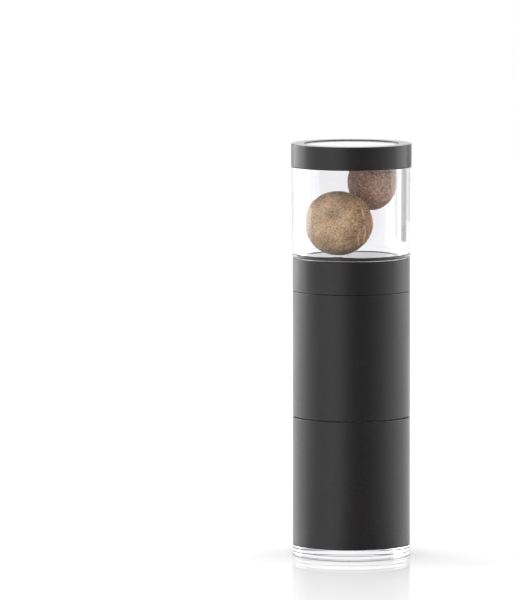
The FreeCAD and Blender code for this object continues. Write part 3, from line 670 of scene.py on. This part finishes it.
class MILL_OT_nutmegs(bpy.types.Operator):
    """Two spare nutmegs that lean on each other in the jar"""

    bl_idname = "mill.nutmegs"
    bl_label = "Spare nutmegs"

    def execute(self, context):
        size = sizes_in_mm(context)
        colours = context.scene.mill_colours
        brown = nutmeg_skin("nutmeg_brown", colours.furrow, colours.shell, colours.vein)
        grey = nutmeg_skin("nutmeg_grey", colours.grey_furrow, colours.grey_shell, colours.grey_vein)
        for shape, material in zip(NUTMEGS, (brown, grey)):
            show(nutmeg(size.furrows, **shape), material, "store", "nutmeg", shape["node"])
        return {"FINISHED"}


COIL_STEPS = 32  # points along each turn of the spring
WIRE_STEPS = 16  # points round its wire
CLOSED_PITCH = 2.04  # rise of a closed coil, in radii of the wire


class MILL_OT_spring(bpy.types.Operator):
    """Presser spring: a wire wound round the shaft, with a closed coil at each end"""

    bl_idname = "mill.spring"
    bl_label = "Presser spring"

    def execute(self, context):
        size = sizes_in_mm(context)
        wire, coils = size.wire, size.coils
        low, high, _ = span("presser_spring")
        turns = np.linspace(0, coils, coils * COIL_STEPS + 1)
        closed = wire + CLOSED_PITCH * wire
        rise = [low + wire, low + closed, high - closed, high - wire]
        height = np.interp(turns, [0, 1, coils - 1, coils], rise)
        angle = FULL_TURN * turns
        out = np.stack([np.cos(angle), np.sin(angle), 0 * angle], -1)
        middle = size.spring * out + np.stack([0 * angle, 0 * angle, height], -1)
        along = np.gradient(middle, axis=0)
        along /= np.linalg.norm(along, axis=1, keepdims=True)
        up = np.cross(along, out)
        round_wire = np.linspace(0, FULL_TURN, WIRE_STEPS, endpoint=False)[None, :, None]
        ring = np.cos(round_wire) * out[:, None] + np.sin(round_wire) * up[:, None]
        tube = middle[:, None] + wire * ring
        ends = middle[[0, -1], None] + 0 * ring[[0, -1]]
        grid = np.concatenate([ends[:1], tube, ends[1:]])
        colours = context.scene.mill_colours
        steel = drawn_metal("spring_steel", colours.spring, 0.3, (1, 1, 1), 0.2)
        piece = show(skin("wound_spring", grid), steel, "head", "spring_steel", "presser_spring")
        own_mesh(piece)
        return {"FINISHED"}


class MILL_OT_works(bpy.types.Operator):
    """Finishes of the pieces inside, whose shapes are the CAD's own"""

    bl_idname = "mill.works"
    bl_label = "Finishes of the works"

    def execute(self, context):
        colours = context.scene.mill_colours
        acetal = grey_acetal(colours)
        rolled = drawn_metal("rolled_stainless", colours.steel, 0.28, (0.05, 1, 1), 0.3)
        ground = drawn_metal("ground_stainless", colours.steel, 0.25, (1, 1, 0.05), 0.3)
        tumbled = drawn_metal("clip_steel", colours.spring, 0.3, (1, 1, 1), 0.2)
        zinc = drawn_metal("zinc_plate", colours.zinc, 0.35, (1, 1, 1), 0.5)
        silicone = soft_polymer("silicone", colours.silicone, 0.5, 0.3)
        ptfe = soft_polymer("ptfe", colours.ptfe, 0.45, 0.2)
        bronze = sintered_bronze(colours)
        finishes = {
            "chamber_tube disc_retainer carrier_ring head_core presser_plate": acetal,
            "grating_disc": rolled,
            "drive_shaft presser_claws": ground,
            "swivel_clip shaft_clip": tumbled,
            "retainer_screws shaft_screw spring_seat": zinc,
            "base_cap_seal carrier_seal collar_seal lid_seal": silicone,
            "thrust_washer": ptfe,
            "guide_bush": bronze,
        }
        for names, material in finishes.items():
            for name in names.split():
                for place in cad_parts[name].material_slots:
                    place.material = material
        return {"FINISHED"}


# ---- Stage --------------------------------------------------------------------------------------
# Lengths are in metres and angles in degrees. An azimuth runs from the camera's side to the camera's right.
FLOOR_CORNERS = ((-6, -4), (6, -4), (6, 9), (-6, 9))
FLOOR_Z = -5e-5  # just clear of the foot
MIRROR_REACH = 0.6  # distance from the mill at which the floor's mirror image has faded away
BOX_HEIGHT = 1.0
BOX_DISTANCE = 1.0
BOX_MIDDLE = 0.45  # height of a soft box's middle
BOX_AIM = 0.07  # height on the mill that a soft box faces
LENS = 420  # mm, on a sensor of 36 mm
SENSOR = 36
LENS_SHIFT = (-0.1573, 0.0833)
CAMERA_TILT = 5.9
CAMERA_DISTANCE = 2.383
CAMERA_AIM = 0.06985

# Azimuth, width and radiance of each soft box.
SOFT_BOXES = {"soft_box_left": (-122, 1.0, 2.1), "soft_box_right": (114, 0.8, 1.2)}

# Outline of each card, as radii and heights, and its glow by azimuth: the painted dark and bright bands that
# the barrel reflects and the jar's wall shows.
FRONT_OUTLINE = ((0.024, 0.001), (0.35, 0.001), (0.35, 0.6))
FRONT_TONES = {
    -78: 1.0,
    -60: 0.9,
    -38: 1.1,
    -28: 1.05,
    -20: 0.92,
    -11: 0.55,
    0: 0.32,
    13: 0.2,
    25: 0.18,
    37: 0.3,
    50: 0.46,
    63: 0.72,
    75: 1.0,
}
SIDE_OUTLINE = ((0.35, 0.083), (0.35, 0.112))
SIDE_TONES = {127: 1.0, 131: 0.64, 136: 0.42, 142: 0.33, 149: 0.24, 154: 0.55, 158: 1.0}


def studio_floor(colours):
    """White acrylic sheet: matt white, with a weak mirror image that is strongest near the foot.

    It runs into a sweep of white paper, which takes over between 0.1 m and 0.36 m from the mill.
    """
    material, tree, shader, place = new_material("studio_floor")
    away = add(tree, "ShaderNodeVectorMath", {"operation": "LENGTH"}, {0: place}).outputs["Value"]
    reach = add(tree, "ShaderNodeMath", {"operation": "DIVIDE", 1: MIRROR_REACH}, {0: away})
    levels = {0.04: 0.34, 0.1: 0.3, 0.22: 0.23, 1: 0}
    stops = [(share, (level, level, level, 1)) for share, level in levels.items()]
    mirror = add(tree, "ShaderNodeValToRGB", {"stops": stops}, {"Fac": reach})
    stops = [(0.17, colours.floor), (0.6, colours.sweep)]
    white = add(tree, "ShaderNodeValToRGB", {"stops": stops}, {"Fac": reach})
    matt = add(tree, "ShaderNodeBsdfDiffuse", {}, {"Color": white})
    gloss = add(tree, "ShaderNodeBsdfGlossy", {"Color": colours.floor, "Roughness": 0.0}, {})
    sheet = add(tree, "ShaderNodeMixShader", {}, {0: mirror, 1: matt, 2: gloss})
    fit(tree, tree.nodes["Material Output"], {}, {"Surface": sheet})
    tree.nodes.remove(shader)
    return material


def painted_reflection_card():
    """Glowing card, not lit by any lamp: its front glows as bright as its tone attribute, and its back is
    clear. Seen only in reflections and through glass, it is a painted reflection.
    """
    material, tree, shader, _ = new_material("painted_reflection_card")
    tone = add(tree, "ShaderNodeAttribute", {"attribute_name": "tone"}, {}).outputs["Fac"]
    glow = add(tree, "ShaderNodeEmission", {}, {"Strength": tone})
    behind = add(tree, "ShaderNodeNewGeometry", {}, {}).outputs["Backfacing"]
    clear = add(tree, "ShaderNodeBsdfTransparent", {}, {})
    side = add(tree, "ShaderNodeMixShader", {}, {0: behind, 1: glow, 2: clear})
    fit(tree, tree.nodes["Material Output"], {}, {"Surface": side})
    tree.nodes.remove(shader)
    return material


def stand(name, points, faces, material):
    """Stage piece from points in metres."""
    mesh = bpy.data.meshes.new(name)
    mesh.from_pydata(np.asarray(points, float).tolist(), [], np.asarray(faces).tolist())
    mesh.materials.append(material)
    piece = bpy.data.objects.new(name, mesh)
    bpy.context.scene.collection.objects.link(piece)
    return piece


def drum_card(name, tones, outline):
    """Glowing card bent round the mill, with a tone for each azimuth, that only reflections and glass see: a
    painted reflection.

    The point (r, h) of its outline lands at (r sin a, -r cos a, h) for azimuth a.
    """
    degrees = np.arange(min(tones), max(tones) + 1)
    a = np.radians(degrees)[:, None]
    r, h = np.array(outline).T
    points = np.stack([r * np.sin(a), -r * np.cos(a), h + 0 * a], -1)
    number = np.arange(points[..., 0].size).reshape(points.shape[:2])
    sides = [number[:-1, :-1], number[:-1, 1:], number[1:, 1:], number[1:, :-1]]
    quads = np.stack(sides, -1).reshape(-1, 4)
    card = stand(name, points.reshape(-1, 3), quads, painted_reflection_card())
    levels = np.interp(degrees, list(tones), list(tones.values()))
    field = card.data.attributes.new("tone", "FLOAT", "POINT")
    field.data.foreach_set("value", np.repeat(levels, len(r)))
    # Seen only in reflections and through glass, the card is a painted reflection.
    card.visible_camera = False
    card.visible_diffuse = False
    card.visible_shadow = False
    card.visible_volume_scatter = False
    return card


class MILL_OT_stage(bpy.types.Operator):
    """Floor, soft light, camera, and glowing cards that paint reflections"""

    bl_idname = "mill.stage"
    bl_label = "Floor, light and camera"

    def execute(self, context):
        scene = context.scene
        scene.view_settings.view_transform = "Standard"

        world = bpy.data.worlds.new("white_studio")
        world.use_nodes = True
        world.node_tree.nodes["Background"].inputs["Color"].default_value = linear("FFFFFF")
        world.node_tree.nodes["Background"].inputs["Strength"].default_value = 1.0
        scene.world = world

        corners = [(x, y, FLOOR_Z) for x, y in FLOOR_CORNERS]
        stand("floor", corners, [(0, 1, 2, 3)], studio_floor(scene.mill_colours))

        front = drum_card("front_card", FRONT_TONES, FRONT_OUTLINE)
        front.visible_transmission = False
        drum_card("side_card", SIDE_TONES, SIDE_OUTLINE)

        for name, (azimuth, width, radiance) in SOFT_BOXES.items():
            light = bpy.data.lights.new(name, "AREA")
            light.shape = "RECTANGLE"
            light.size = width
            light.size_y = BOX_HEIGHT
            light.energy = radiance * math.pi * width * BOX_HEIGHT
            lamp = bpy.data.objects.new(name, light)
            turn = math.radians(azimuth)
            where = Vector((BOX_DISTANCE * math.sin(turn), -BOX_DISTANCE * math.cos(turn), BOX_MIDDLE))
            lamp.location = where
            lamp.rotation_euler = (where - Vector((0, 0, BOX_AIM))).to_track_quat("Z", "Y").to_euler()
            scene.collection.objects.link(lamp)

        eye = bpy.data.cameras.new("camera")
        eye.lens = LENS
        eye.sensor_width = SENSOR
        eye.shift_x, eye.shift_y = LENS_SHIFT
        camera = bpy.data.objects.new("camera", eye)
        tilt = math.radians(CAMERA_TILT)
        back, up = CAMERA_DISTANCE * math.cos(tilt), CAMERA_DISTANCE * math.sin(tilt)
        camera.location = (0, -back, CAMERA_AIM + up)
        camera.rotation_euler = (math.pi / 2 - tilt, 0, 0)
        scene.collection.objects.link(camera)
        scene.camera = camera
        return {"FINISHED"}


class MILL_PT_panel(bpy.types.Panel):
    """Buttons and settings of the mill"""

    bl_label = "Nutmeg Mill"
    bl_idname = "MILL_PT_panel"
    bl_space_type = "VIEW_3D"
    bl_region_type = "UI"
    bl_category = "Nutmeg Mill"

    def draw(self, context):
        for operator in OPERATORS:
            self.layout.operator(operator.bl_idname)
        for group in (context.scene.mill_sizes, context.scene.mill_colours):
            column = self.layout.column()
            for name in group.__annotations__:
                column.prop(group, name)


OPERATORS = (MILL_OT_stage, MILL_OT_barrel, MILL_OT_clear, MILL_OT_nutmegs, MILL_OT_spring, MILL_OT_works)
CLASSES = (MillSizes, MillColours, *OPERATORS, MILL_PT_panel)


def register():
    for cls in CLASSES:
        bpy.utils.register_class(cls)
    bpy.types.Scene.mill_sizes = PointerProperty(type=MillSizes)
    bpy.types.Scene.mill_colours = PointerProperty(type=MillColours)


def unregister():
    del bpy.types.Scene.mill_colours
    del bpy.types.Scene.mill_sizes
    for cls in reversed(CLASSES):
        bpy.utils.unregister_class(cls)


def main():
    """Makes every piece and the stage."""
    register()
    for make in (
        bpy.ops.mill.stage,
        bpy.ops.mill.barrel,
        bpy.ops.mill.clear,
        bpy.ops.mill.nutmegs,
        bpy.ops.mill.spring,
        bpy.ops.mill.works,
    ):
        make()


if __name__ == "__main__":
    main()
